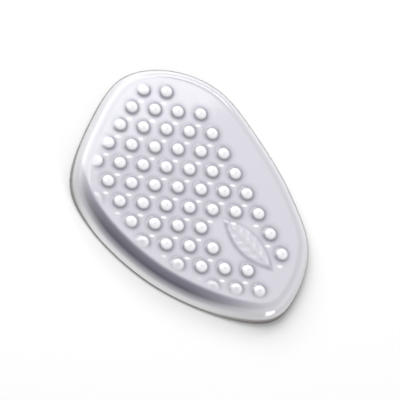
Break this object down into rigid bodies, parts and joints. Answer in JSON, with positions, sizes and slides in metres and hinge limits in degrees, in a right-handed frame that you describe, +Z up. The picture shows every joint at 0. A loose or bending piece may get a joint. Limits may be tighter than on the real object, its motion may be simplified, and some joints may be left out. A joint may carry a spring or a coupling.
{
  "type": "metatarsal pad",
  "caption": "Clear, flat-bottomed, egg-shaped gel cushion with a rounded shoulder, a thin lip along one side and small round studs on top, to lie under the ball of the foot.",
  "frame": {"origin": "under the middle of the bounding box, on the flat underside", "axes": "+Y along the pad, towards its wide toe end; +Z up, out of the studded top"},
  "size_m": [0.0574, 0.08, 0.0065],
  "materials": {
    "clear_gel": "clear, slightly hazy moulded gel with a smooth glossy skin"
  },
  "bodies": {
    "root": {"gel_pad": "clear_gel"}
  },
  "joints": []
}
